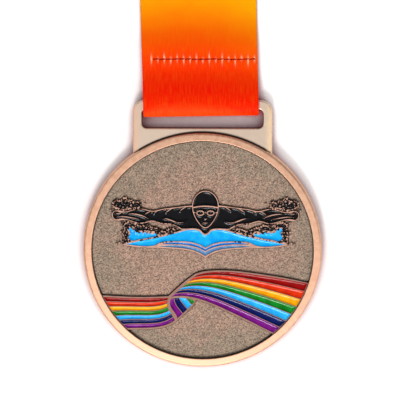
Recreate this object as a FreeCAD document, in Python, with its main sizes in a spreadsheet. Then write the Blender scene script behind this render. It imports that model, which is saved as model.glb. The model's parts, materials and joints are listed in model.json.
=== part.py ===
"""Finisher medal: a round die-cast medal with soft enamel artwork, hung on a sewn neck ribbon.

Frame: the medal lies on its back on the plane Z = 0 with its face up. The origin is the centre of its flat
back, +X runs to the right of the artwork and +Y towards the hanger tab. Millimetres.
"""

import FreeCAD, Part
import math
import os

import Sketcher

V = FreeCAD.Vector

# ---------------------------------------------------------------- driving dimensions (mm, degrees)
SIZES = {
    "disc_radius": 32.5,
    "disc_thickness": 4.0,
    "rim_width": 2.3,
    "rim_round": 0.7,
    "back_round": 0.4,
    "lip_round": 0.25,
    "field_height": 3.0,
    "tab_half_width": 18.8,
    "tab_top": 41.1,
    "tab_root": 20.0,
    "tab_bottom": 1.0,
    "tab_thickness": 2.0,
    "tab_corner": 3.2,
    "tab_round": 0.4,
    "slot_half_width": 16.35,
    "slot_height": 5.1,
    "slot_corner": 1.3,
    "bar_height": 2.4,
    "relief_height": 0.6,
    "relief_root": 0.05,
    "cell_depth": 0.5,
    "enamel_thickness": 0.3,
    "ribbon_width": 31.1,
    "ribbon_thickness": 0.45,
    "loop_inner_radius": 1.55,
    "layer_pitch": 0.55,
    "front_slope": 12.5,
    "seam_distance": 12.2,
    "seam_allowance": 3.3,
    "fold_radius": 0.6,
    "stack_near": 78.0,
    "stack_far": 155.0,
    "thread_radius": 0.14,
    "stitch_pitch": 1.73,
    "stitch_length": 1.25,
    "stitch_count": 16,
    "stitch_middle": 0.4,
}
S = SIZES
S["rim_inner_radius"] = S["disc_radius"] - S["rim_width"]
S["rim_height"] = S["disc_thickness"] - S["field_height"]
S["slot_top"] = S["tab_top"] - S["bar_height"]
S["slot_bottom"] = S["slot_top"] - S["slot_height"]
S["bar_middle"] = S["tab_top"] - S["bar_height"] / 2
S["bar_level"] = S["tab_bottom"] + S["tab_thickness"] / 2
S["relief_base"] = S["field_height"] - S["relief_root"]
S["relief_rise"] = S["relief_height"] + S["relief_root"]
S["relief_top"] = S["field_height"] + S["relief_height"]
S["cell_floor"] = S["relief_top"] - S["cell_depth"]
S["line_base"] = S["cell_floor"] - S["relief_root"]
S["line_rise"] = S["cell_depth"] + S["relief_root"]
S["seam_row"] = S["bar_middle"] + S["seam_distance"]
S["tail_level"] = 2 * S["thread_radius"] + S["ribbon_thickness"] / 2
S["back_level"] = S["tail_level"] + S["layer_pitch"]
S["front_level"] = S["back_level"] + S["layer_pitch"]
S["needle_level"] = S["front_level"] + S["ribbon_thickness"] / 2 + S["thread_radius"]
S["bobbin_level"] = S["thread_radius"]
S["seam_width"] = S["stitch_pitch"] * (S["stitch_count"] - 1)
S["first_stitch"] = S["stitch_middle"] - (S["seam_width"] + S["stitch_length"]) / 2

LINE = 0.24  # width of the raised metal lines round an enamel cell
STRIPE_LINE = 0.2  # width of the lines between two stripes
FINE_LINE = 0.2  # width of the lines in the face
FOAM_GAP = 0.66  # from the middle of one foam bubble to the next
FOAM_RADIUS = 0.22
FOAM_SPREAD = 0.35  # share by which a bubble's radius may differ from that
FOAM_CLEARANCE = 0.04
FOAM_OFFSET = 0.3  # how far the bubbles' middles are outside their cell

# ---------------------------------------------------------------- artwork: (distance from its middle line, Y)
ART_X = 0.8  # the swimmer's middle line
HEAD_TOP, HEAD_MIDDLE, HEAD_CHIN, HEAD_HALF = 16.5, 12.35, 6.4, 3.5
CAP_TURN, FACE_TURN = 92.0, 95.5  # where the cap ends and the face starts, degrees from the crown
GOGGLE_ACROSS, GOGGLE_HEIGHT = 1.4, 10.45
GOGGLE_RIM, GOGGLE_LENS = (1.08, 0.74), (0.8, 0.47)  # half widths and half heights

ARM_TOP = [(6.5, 12.0), (9.5, 11.6), (12.0, 11.25), (14.2, 10.8), (17.2, 11.4), (19.6, 11.15), (22.0, 10.55),
           (24.0, 10.9)]
HAND = [(24.0, 10.9), (25.1, 10.3), (25.0, 9.2), (24.2, 8.6)]
ARM_BOTTOM = [(24.2, 8.6), (21.9, 8.8), (19.2, 8.0), (16.8, 7.8), (14.6, 8.35), (12.4, 7.8), (9.6, 7.5),
              (7.7, 6.9), (6.5, 6.15)]
CHEST = [(0.0, 4.75), (0.7, 5.05), (1.3, 5.75), (2.4, 6.15), (4.4, 6.2), (6.5, 6.15)]
MUSCLES = [
    ([(11.3, 8.95), (9.9, 8.65), (8.4, 8.05), (5.4, 8.15)], 0.28),
    ([(5.2, 12.1), (6.2, 11.6), (6.9, 11.0)], 0.24),
    ([(8.9, 11.7), (9.9, 11.2), (10.7, 10.55)], 0.26),
    ([(12.8, 11.1), (13.4, 10.8), (13.9, 10.3)], 0.2),
    ([(14.7, 10.9), (15.7, 10.5), (16.5, 9.95)], 0.24),
    ([(15.6, 8.9), (17.3, 9.7), (19.0, 10.1), (21.0, 10.2)], 0.26),
    ([(18.0, 8.75), (20.0, 9.1), (22.0, 9.4), (24.0, 9.35)], 0.2),
    ([(22.6, 10.6), (23.5, 10.25), (24.4, 10.3)], 0.2),
]

WATER_TOP = [(0.0, 4.3), (0.85, 4.65), (1.6, 5.4), (2.7, 5.75), (4.6, 5.75), (6.9, 5.2), (9.2, 4.5),
             (11.7, 3.85), (14.6, 3.25), (18.2, 2.55), (21.8, 1.75)]
WATER_LOW = [(21.8, 1.75), (18.0, 1.3), (15.2, 1.25), (13.5, 1.6), (12.2, 2.3), (10.3, 2.6), (7.0, 2.65),
             (3.8, 2.4), (1.6, 1.75), (0.0, 0.85)]
WAVE_UPPER = [(0.0, 0.45), (1.7, 1.4), (4.0, 2.05), (7.0, 2.3), (9.8, 2.25), (12.0, 1.85)]
WAVE_LOWER = [(0.0, -0.1), (1.8, 0.85), (4.2, 1.5), (7.0, 1.8), (9.8, 1.85), (12.0, 1.85)]
SWELL_UPPER = [(0.0, -0.4), (1.9, 0.55), (4.3, 1.2), (7.0, 1.5), (9.8, 1.5), (12.8, 1.2)]
SWELL_LOWER = [(0.0, -1.45), (1.6, -0.5), (4.0, 0.35), (7.0, 0.8), (9.8, 1.0), (12.8, 1.2)]
WATER_BED_TOP = [(0.0, 5.6), (4.6, 6.1), (6.9, 5.55), (9.2, 4.85), (11.7, 4.2), (14.6, 3.6), (18.2, 2.9),
                 (22.7, 1.75)]
WATER_BED_LOW = [(22.7, 1.75), (18.0, 0.95), (15.0, 0.85), (12.8, 0.8), (9.8, 0.65), (7.0, 0.45), (4.0, 0.0),
                 (1.8, -0.85), (0.0, -2.0)]
SPLASH = [(20.5, 3.0), (20.85, 3.9), (20.4, 4.9), (20.8, 5.9), (20.2, 6.35), (19.85, 5.6), (19.35, 5.8),
          (19.0, 5.05), (18.5, 5.1), (18.0, 4.75), (17.4, 5.25), (16.9, 4.75), (16.3, 5.15), (15.7, 4.6),
          (15.1, 4.9), (14.5, 4.45), (13.8, 4.8), (13.25, 4.35), (14.2, 3.8), (16.4, 3.35), (18.8, 2.9)]
SPRAY_OUTSIDE = [(8.3, 5.55), (9.2, 5.9), (10.6, 5.4), (12.0, 5.25), (13.0, 5.9), (14.8, 6.3), (16.0, 6.85),
                 (17.6, 6.55), (19.0, 7.1), (20.6, 7.65), (22.0, 6.9), (21.8, 5.7), (22.2, 4.6), (21.9, 3.4),
                 (22.3, 2.5)]
SPRAY_INSIDE = [(21.2, 2.6), (21.3, 3.9), (20.9, 4.9), (21.25, 6.0), (20.4, 6.75), (19.0, 6.3), (18.2, 5.6),
                (16.4, 5.75), (14.8, 5.45), (13.3, 5.3), (12.5, 4.5), (10.9, 4.8), (9.3, 5.1)]
SPRAY_BED = SPRAY_OUTSIDE + [(20.5, 2.3), (16.0, 2.9), (12.0, 3.7), (9.0, 4.5)]
SPRAY_DROPS = [(9.15, 5.5, 0.22), (10.0, 5.3, 0.13), (10.9, 5.1, 0.16), (12.4, 4.95, 0.2), (13.4, 5.6, 0.13),
               (14.7, 5.95, 0.22), (15.4, 6.1, 0.12), (16.1, 6.35, 0.22), (17.5, 6.2, 0.14),
               (18.9, 6.75, 0.22), (19.6, 6.9, 0.12), (20.5, 7.25, 0.2), (21.6, 6.5, 0.14), (21.4, 5.1, 0.18),
               (21.75, 4.3, 0.12), (21.65, 3.0, 0.16)]
HAND_SPRAY = [(17.9, 12.7), (18.5, 13.3), (19.5, 12.95), (20.1, 13.75), (20.9, 13.5), (21.6, 14.35),
              (22.5, 13.9), (23.3, 13.5), (24.3, 13.6), (24.9, 12.5), (23.9, 11.9), (22.1, 11.5),
              (20.0, 12.0), (18.7, 12.05)]
HAND_DROPS = [(18.5, 12.65, 0.24), (19.3, 12.4, 0.14), (20.15, 12.5, 0.28), (20.3, 13.3, 0.15),
              (21.0, 12.95, 0.2), (21.2, 12.0, 0.24), (21.7, 13.75, 0.26), (21.9, 12.8, 0.16),
              (22.4, 12.0, 0.18), (22.8, 13.3, 0.25), (23.2, 12.5, 0.26), (24.0, 13.1, 0.24),
              (24.2, 12.4, 0.14)]
LOOSE_DROPS = [(25.35, 11.9, 0.3), (25.75, 11.1, 0.22), (23.4, 2.1, 0.27), (24.2, 1.85, 0.2),
               (23.0, 5.2, 0.24), (22.8, 7.7, 0.22), (16.4, 13.0, 0.22)]

# The band of seven stripes: a long run to the right, a short one to the left, and the turned-over piece.
STRIPES = ["red", "orange", "yellow", "green", "sky", "navy", "purple"]
RUN_UPPER = [(-1.6, -6.65), (3.4, -5.75), (9.3, -5.9), (15.0, -6.6), (21.0, -7.5)]
RUN_LOWER = [(-8.5, -12.9), (-4.6, -12.7), (0.8, -14.0), (6.6, -16.5), (13.0, -19.65)]
RUN_BEARINGS = (-17.2, -49.8)  # where its upper and lower line meet the rim, degrees
SIDE_UPPER = [(-22.5, -13.1), (-17.0, -13.25), (-12.6, -13.15)]
SIDE_LOWER = [(-18.6, -21.7), (-14.6, -21.6), (-10.7, -21.05)]
SIDE_BEARINGS = (205.4, 226.6)
SIDE_ENDS = [(-9.3, -13.05), (-9.55, -13.8), (-9.7, -14.7), (-9.55, -15.7), (-9.15, -16.7), (-8.6, -17.6),
             (-8.05, -18.5), (-7.5, -19.45)]
FOLD_LINES = [
    [(-8.4, -13.3), (-9.0, -14.45), (-8.4, -16.3), (-7.4, -17.7), (-6.95, -18.9)],
    [(-7.75, -13.2), (-7.6, -14.25), (-6.9, -15.6), (-6.05, -16.7), (-5.4, -17.5)],
    [(-6.4, -13.1), (-6.1, -13.7), (-5.4, -14.7), (-4.7, -15.6), (-4.1, -16.25)],
    [(-4.4, -13.2), (-4.1, -13.55), (-3.7, -14.1), (-3.3, -14.65), (-2.9, -15.05)],
    [(-2.6, -13.6), (-2.5, -13.7), (-2.4, -13.82), (-2.3, -13.95), (-2.15, -14.1)],
]
FOLD_COLOURS = ["purple", "navy", "sky", "green"]
BAND_BED = [
    [(-28.39, -12.45), (-22.5, -12.75), (-17.0, -12.9), (-12.6, -12.8), (-9.3, -12.65)],
    [(-9.3, -12.65), (-7.0, -10.45), (-4.4, -8.2), (-2.0, -6.4)],
    [(-2.0, -6.4), (0.3, -5.7), (3.4, -5.4), (9.3, -5.55), (15.0, -6.25), (21.0, -7.15), (29.65, -9.05)],
    ((29.65, -9.05), (26.4, -16.25), (20.2, -23.52)),
    [(20.2, -23.52), (13.0, -20.0), (6.6, -16.85), (0.8, -14.4), (-1.7, -13.75)],
    [(-1.7, -13.75), (-2.5, -15.15), (-3.75, -16.55), (-5.1, -17.85), (-6.6, -19.2)],
    [(-6.6, -19.2), (-8.2, -20.45), (-10.6, -21.4), (-14.6, -21.95), (-18.6, -22.05), (-21.6, -22.24)],
    ((-21.6, -22.24), (-25.4, -17.77), (-28.39, -12.45)),
]

doc = FreeCAD.newDocument("finisher_medal")
dims = doc.addObject("Spreadsheet::Sheet", "Dims")
for row, (alias, size) in enumerate(SIZES.items(), start=1):
    dims.set(f"A{row}", alias)
    dims.set(f"B{row}", f"{size:.6g}")
    dims.setAlias(f"B{row}", alias)
doc.recompute()
parts = []


# ---------------------------------------------------------------- outlines
def spline(points):
    """An open smooth curve through the points."""
    curve = Part.BSplineCurve()
    curve.interpolate([V(x, y, 0) for x, y in points])
    return curve


def loop(points):
    """A closed smooth curve through the points."""
    curve = Part.BSplineCurve()
    curve.interpolate([V(x, y, 0) for x, y in points], PeriodicFlag=True)
    return curve


def segment(a, b):
    return Part.LineSegment(V(*a, 0), V(*b, 0))


def arc(a, middle, b):
    return Part.Arc(V(*a, 0), V(*middle, 0), V(*b, 0))


def run_curve(run):
    """A run's curve: an arc for a tuple of three points, and a straight or smooth line for a list."""
    if isinstance(run, tuple):
        return arc(*run)
    return spline(run) if len(run) > 2 else segment(*run)


def closed(runs):
    """An outline of runs that meet at corners; a short straight joins two runs that don't touch."""
    curves = []
    for run, following in zip(runs, runs[1:] + runs[:1]):
        curves.append(run_curve(run))
        if math.dist(run[-1], following[0]) > 1e-6:
            curves.append(segment(run[-1], following[0]))
    return curves


def moved(curve, points, distance):
    """Points of a curve, each moved to the left of the curve's own direction."""
    result = []
    for x, y in points:
        along = curve.tangent(curve.parameter(V(x, y, 0)))[0]
        result.append((x - along.y * distance, y + along.x * distance))
    return result


def shifted(points, distance):
    """An open run moved to its left."""
    return moved(spline(points), points, distance)


def swollen(points, distance):
    """A closed outline moved outwards, whichever way round its points go."""
    area = sum(a[0] * b[1] - b[0] * a[1] for a, b in zip(points, points[1:] + points[:1]))
    return moved(loop(points), points, -math.copysign(distance, area))


def placed(points, side=1):
    """Artwork points, given from the middle line, on the right (side 1) or mirrored to the left (side -1)."""
    return [(ART_X + side * u, *rest) for u, *rest in points]


def both_sides(half):
    """One run from the right-hand end over the middle line to the left-hand end."""
    return placed(half)[::-1] + placed(half, -1)[1:]


def stroke(points, width):
    """A raised line that tapers to a point at both ends."""
    left, right = ([points[0], *shifted(points, half)[1:-1], points[-1]] for half in (width / 2, -width / 2))
    return closed([left, right[::-1]])


def circles(places):
    return [[Part.Circle(V(x, y, 0), V(0, 0, 1), radius)] for x, y, radius in places]


def drops(places, side):
    return circles(placed(places, side))


def foam(curve):
    """Bubbles in a row along a curve, each of its own size and clear of the others."""
    edge = curve.toShape()
    bubbles = []
    for i, place in enumerate(edge.discretize(int(edge.Length / FOAM_GAP))):
        radius = FOAM_RADIUS * (1 + FOAM_SPREAD * math.sin(2.3 * i))
        needed = radius + FOAM_CLEARANCE
        if all(math.hypot(place.x - x, place.y - y) > needed + other for x, y, other in bubbles):
            bubbles.append((place.x, place.y, radius))
    return circles(bubbles)


# ---------------------------------------------------------------- the swimmer
def head_point(turn, inset):
    """A point on the head's egg-shaped outline, by its angle from the crown, moved inwards by the inset."""
    across, up = math.sin(math.radians(turn)), math.cos(math.radians(turn))
    reach = HEAD_TOP - HEAD_MIDDLE if up >= 0 else HEAD_MIDDLE - HEAD_CHIN
    narrowing = 1.0 if up >= 0 else 1.0 - 0.3 * up * up
    return ART_X + (HEAD_HALF - inset) * across * narrowing, HEAD_MIDDLE + (reach - inset) * up


def head_run(first, last, steps, inset):
    return [head_point(first + (last - first) * i / steps, inset) for i in range(steps + 1)]


def brow(ends):
    """The cap's edge, bowed up over the forehead, between the ends of a run round the head."""
    height = ends[0][1]
    return [ends[-1], *placed([(-1.7, height + 0.28), (0.0, height + 0.38), (1.7, height + 0.28)]), ends[0]]


def cap_outline():
    crown = head_run(CAP_TURN, -CAP_TURN, 10, LINE / 2)
    return closed([crown, brow(crown)])


def face_outline():
    jaw = head_run(FACE_TURN, 360 - FACE_TURN, 10, LINE / 2)
    return closed([jaw, brow(jaw)])


def goggles(half_width, half_height):
    """A pair of ellipses, one each side of the nose."""
    return [[Part.Ellipse(V(ART_X + side * GOGGLE_ACROSS, GOGGLE_HEIGHT, 0), half_width, half_height)]
            for side in (-1, 1)]


def face_lines():
    """The goggles' bridge and strap, and a plain nose and mouth."""
    strap = [stroke(placed([(2.6, 10.5), (3.0, 10.62), (3.5, 10.85)], side), LINE) for side in (-1, 1)]
    bridge = stroke(placed([(-0.28, 10.6), (0.0, 10.72), (0.28, 10.6)]), FINE_LINE)
    nose = stroke(placed([(-0.45, 8.95), (0.0, 8.72), (0.45, 8.95)]), FINE_LINE)
    mouth = stroke(placed([(-0.8, 7.82), (0.0, 7.68), (0.8, 7.82)]), FINE_LINE)
    return [*strap, bridge, nose, mouth]


def body_outline():
    """Arms, shoulders and chest, open at the head's outline."""
    neck = head_run(360 - CAP_TURN, CAP_TURN, 10, -LINE / 2)
    return closed([
        [neck[-1], *placed(ARM_TOP)],
        placed(HAND),
        placed(ARM_BOTTOM),
        both_sides(CHEST),
        placed(ARM_BOTTOM, -1)[::-1],
        placed(HAND, -1)[::-1],
        [*placed(ARM_TOP, -1)[::-1], neck[0]],
        neck,
    ])


def body_bed():
    """The raised bed under arms, shoulders and chest."""
    half = ARM_TOP + HAND[1:] + ARM_BOTTOM[1:] + CHEST[-2::-1]
    return [loop(swollen(placed(half) + placed(half[:-1], -1)[::-1], LINE))]


def muscle_lines():
    return [stroke(placed(points, side), width) for points, width in MUSCLES for side in (1, -1)]


def crescent(upper, lower):
    """A thin wave, pointed at both ends and bent at the middle line."""
    return closed([placed(upper, -1)[::-1], placed(upper), placed(lower)[::-1], placed(lower, -1)])


def pool(top, low):
    """A stretch of water, pointed at both ends and at the middle of its lower edge."""
    return closed([both_sides(top), placed(low, -1), placed(low)[::-1]])


# ---------------------------------------------------------------- the striped band
def between(first, second, share):
    return [(a[0] + (b[0] - a[0]) * share, a[1] + (b[1] - a[1]) * share) for a, b in zip(first, second)]


def at_rim(bearings, share):
    """Where a line of the band stops, a raised line's width inside the rim."""
    turn = math.radians(bearings[0] + (bearings[1] - bearings[0]) * share)
    reach = S["rim_inner_radius"] - LINE
    return reach * math.cos(turn), reach * math.sin(turn)


def run_line(index):
    """A line along the long run, from the fold to the rim."""
    share = index / len(STRIPES)
    return [*between(RUN_UPPER, RUN_LOWER, share), at_rim(RUN_BEARINGS, share)]


def side_line(index):
    """A line along the short run, from the rim to the fold."""
    share = index / len(STRIPES)
    return [at_rim(SIDE_BEARINGS, share), *between(SIDE_UPPER, SIDE_LOWER, share), SIDE_ENDS[index]]


def stripe(left, right):
    """The cell between two lines, with half a raised line kept beside each."""
    return closed([shifted(left, -STRIPE_LINE / 2), shifted(right, STRIPE_LINE / 2)[::-1]])


# ---------------------------------------------------------------- cells and what stands in them
def figure_cells():
    """Enamel name to outlines and to the raised lines that part it, on the swimmer."""
    cells = {
        "enamel_swim_cap": ([cap_outline()], []),
        "enamel_face": ([face_outline()], [goggles(*GOGGLE_RIM), face_lines()]),
        "enamel_swimmer_body": ([body_outline()], [muscle_lines()]),
    }
    for side, word in ((-1, "left"), (1, "right")):
        cells[f"enamel_hand_spray_{word}"] = ([[loop(placed(HAND_SPRAY, side))]], [drops(HAND_DROPS, side)])
        spray = [loop(placed(SPRAY_OUTSIDE + SPRAY_INSIDE, side))]
        cells[f"enamel_spray_{word}"] = ([spray], [drops(SPRAY_DROPS, side)])
    return cells


def water_cells():
    cells = {
        "enamel_water": ([pool(WATER_TOP, WATER_LOW)], []),
        "enamel_wave": ([crescent(WAVE_UPPER, WAVE_LOWER)], []),
        "enamel_swell": ([crescent(SWELL_UPPER, SWELL_LOWER)], []),
    }
    for side, word in ((-1, "left"), (1, "right")):
        cells[f"enamel_splash_{word}"] = ([[loop(placed(SPLASH, side))]], [])
    return cells


def band_cells():
    cells = {}
    for i, colour in enumerate(STRIPES):
        cells[f"enamel_{colour}_right"] = ([stripe(run_line(i), run_line(i + 1))], [])
        cells[f"enamel_{colour}_left"] = ([stripe(side_line(i), side_line(i + 1))], [])
    for colour, left, right in zip(FOLD_COLOURS, FOLD_LINES, FOLD_LINES[1:]):
        cells[f"enamel_{colour}_fold"] = ([stripe(right, left)], [])
    return cells


# ---------------------------------------------------------------- the ribbon's path
def corner(before, at, after):
    """The directions in and out of a corner and the tangent of half its turn, positive to the left."""
    into = ((at[0] - before[0]), (at[1] - before[1]))
    out = ((after[0] - at[0]), (after[1] - at[1]))
    into, out = ([c / math.hypot(*d) for c in d] for d in (into, out))
    turn = math.atan2(into[0] * out[1] - into[1] * out[0], into[0] * out[0] + into[1] * out[1])
    return into, out, math.tan(turn / 2)


def side_of_path(path, distance):
    """The line beside a rounded path, this far to its left: straight runs joined by tangent arcs."""
    curves = []
    points = [point for point, _ in path]
    start_direction = corner(points[0], points[1], points[2])[0]
    end_direction = corner(points[-3], points[-2], points[-1])[1]
    here = (points[0][0] - start_direction[1] * distance, points[0][1] + start_direction[0] * distance)
    for before, (at, radius), after in zip(points, path[1:-1], points[2:]):
        into, out, half = corner(before, at, after)
        turned = math.copysign(1, half)
        reach = radius * abs(half)
        inner = radius - distance * turned
        centre = (at[0] - into[0] * reach - into[1] * radius * turned,
                  at[1] - into[1] * reach + into[0] * radius * turned)
        ends = [(centre[0] + d[1] * inner * turned, centre[1] - d[0] * inner * turned) for d in (into, out)]
        middle = (into[0] + out[0], into[1] + out[1])
        if math.hypot(*middle) < 1e-9:
            raise ValueError("a corner of the path turns back on itself")
        middle = [c / math.hypot(*middle) for c in middle]
        top = (centre[0] + middle[1] * inner * turned, centre[1] - middle[0] * inner * turned)
        if math.dist(here, ends[0]) > 1e-6:
            curves.append(segment(here, ends[0]))
        curves.append(arc(ends[0], top, ends[1]))
        here = ends[1]
    last = (points[-1][0] - end_direction[1] * distance, points[-1][1] + end_direction[0] * distance)
    curves.append(segment(here, last))
    return curves


def ribbon_path():
    """The ribbon's middle line in Y and Z, from the tail under the seam to the end inside it.

    The tail runs under the bar and up round it, and the front strap comes down to the seam. Both straps then
    go up the neck, folded to and fro as a pair into a flat stack, and the back strap ends in the seam.
    """
    floor = S["ribbon_thickness"] / 2
    radius = S["loop_inner_radius"] + floor
    slope = math.radians(S["front_slope"])
    near_bar = S["bar_middle"] - radius
    loop_top = S["bar_level"] + radius * (1 + math.sin(slope)) / math.cos(slope)
    front_foot = near_bar + (loop_top - S["front_level"]) / math.tan(slope)
    seam_end = S["seam_row"] + S["seam_allowance"]
    flat, gentle = 1.0, 3.0
    inner = S["fold_radius"]
    outer = inner + S["layer_pitch"]
    middles = [floor + outer + i * (inner + outer) for i in range(4)]
    far, close = S["stack_far"], S["stack_near"]
    run_down = 5.0

    path = [
        ((seam_end, S["tail_level"]), 0),
        ((S["seam_row"] - S["seam_allowance"], S["tail_level"]), gentle),
        ((S["seam_row"] - S["seam_allowance"] - run_down, floor), gentle),
        ((near_bar, floor), radius),
        ((near_bar, loop_top), radius),
        ((front_foot, S["front_level"]), gentle),
        ((seam_end + flat, S["front_level"]), gentle),
        ((seam_end + flat + run_down, floor + S["layer_pitch"]), gentle),
    ]
    going = [(far + inner, inner), (close - outer, outer), (far + inner, inner), (close - outer, outer)]
    for middle, (y, bend) in zip(middles, going):
        path += [((y, middle - bend), bend), ((y, middle + bend), bend)]
    turn_back = S["layer_pitch"] / 2
    top = middles[-1] + outer
    path += [((far + turn_back, top), turn_back), ((far + turn_back, top - 2 * turn_back), turn_back)]
    coming = [(close - inner, inner), (far + outer, outer), (close - inner, inner), (far + outer, outer)]
    for middle, (y, bend) in zip(middles[::-1], coming):
        path += [((y, middle + bend), bend), ((y, middle - bend), bend)]
    path += [
        ((seam_end + flat + run_down, floor), gentle),
        ((seam_end + flat, S["back_level"]), gentle),
        ((S["seam_row"] - S["seam_allowance"], S["back_level"]), 0),
    ]
    return path


def ribbon_profile():
    path = ribbon_path()
    half = S["ribbon_thickness"] / 2
    left, right = side_of_path(path, half), side_of_path(path, -half)
    caps = []
    for end, vertex in ((0, 0), (-1, 1)):
        corners = [side[end].toShape().Vertexes[vertex].Point for side in (left, right)]
        caps.append(Part.LineSegment(*corners))
    print(f"ribbon middle line {sum(c.length() for c in left + right) / 2:.1f} mm")
    return [*left, *right, *caps]


# ---------------------------------------------------------------- document helpers
def new_body(label):
    body = doc.addObject("PartDesign::Body", label)
    body.Label = label
    body.AllowCompound = True
    parts.append(body)
    return body


def new_sketch(body, label, outlines, level=None, plane="XY_Plane"):
    """A sketch of the outlines on one of the body's origin planes, moved off it by a size in the sheet."""
    sketch = body.newObject("Sketcher::SketchObject", label)
    origin = next(o for o in body.Origin.OriginFeatures if o.Role == plane)
    sketch.AttachmentSupport = [(origin, "")]
    sketch.MapMode = "FlatFace"
    if level:
        sketch.setExpression("AttachmentOffset.Base.z", f"Dims.{level}")
    sketch.addGeometry([curve for outline in outlines for curve in outline], False)
    sketch.Visibility = False
    return sketch


def feature(body, kind, label, sketch, **cells):
    """A PartDesign feature on a sketch, with its sizes bound to sheet cells."""
    made = body.newObject(f"PartDesign::{kind}", label)
    made.Profile = sketch
    for prop, name in cells.items():
        made.setExpression(prop, f"Dims.{name}")
    return made


def pad(body, label, outlines, level, height):
    return feature(body, "Pad", label, new_sketch(body, f"{label}Sketch", outlines, level), Length=height)


def pocket(body, label, outlines, level, depth):
    return feature(body, "Pocket", label, new_sketch(body, f"{label}Sketch", outlines, level), Length=depth)


def driven_circle(body, label, radius, level=None):
    """A sketch of one circle round the origin, its radius read from the sheet."""
    sketch = new_sketch(body, label, [[Part.Circle(V(0, 0, 0), V(0, 0, 1), S[radius])]], level)
    sketch.addConstraint(Sketcher.Constraint("Coincident", 0, 3, -1, 1))
    index = sketch.addConstraint(Sketcher.Constraint("Radius", 0, S[radius]))
    sketch.setExpression(f"Constraints[{index}]", f"Dims.{radius}")
    return sketch


def driven_rectangle(body, label, half_width, bottom, top, level):
    """A sketch of a rectangle across the Y axis, its edges read from the sheet."""
    corners = [(-1, bottom), (1, bottom), (1, top), (-1, top)]
    points = [(side * S[half_width], S[height]) for side, height in corners]
    edges = [[a, b] for a, b in zip(points, points[1:] + points[:1])]
    sketch = new_sketch(body, label, [closed(edges)], level)
    for i, (side, height) in enumerate(corners):
        sketch.addConstraint(Sketcher.Constraint("Coincident", i, 2, (i + 1) % 4, 1))
        across = sketch.addConstraint(Sketcher.Constraint("DistanceX", -1, 1, i, 1, side * S[half_width]))
        sketch.setExpression(f"Constraints[{across}]", f"{side} * Dims.{half_width}")
        upwards = sketch.addConstraint(Sketcher.Constraint("DistanceY", -1, 1, i, 1, S[height]))
        sketch.setExpression(f"Constraints[{upwards}]", f"Dims.{height}")
    return sketch


def fillet(body, label, radius, test):
    """Rounds the edges of the body's last feature that pass the test."""
    doc.recompute()
    base = body.Tip
    names = [f"Edge{i}" for i, edge in enumerate(base.Shape.Edges, start=1) if test(edge)]
    if not names:
        raise RuntimeError(f"{label}: no edge to round")
    made = body.newObject("PartDesign::Fillet", label)
    made.Base = (base, names)
    made.setExpression("Radius", f"Dims.{radius}")
    return made


def near(value, target):
    return abs(value - target) < 1e-4


def upright(edge):
    box = edge.BoundBox
    return box.ZLength > 0.5 and box.XLength + box.YLength < 1e-4


def circle_at(radius, level):
    """A test for the circle round the origin with this radius at this height."""
    def test(edge):
        curve = edge.Curve
        return (isinstance(curve, Part.Circle) and near(curve.Radius, radius) and near(curve.Center.z, level)
                and math.hypot(curve.Center.x, curve.Center.y) < 1e-4)
    return test


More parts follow.
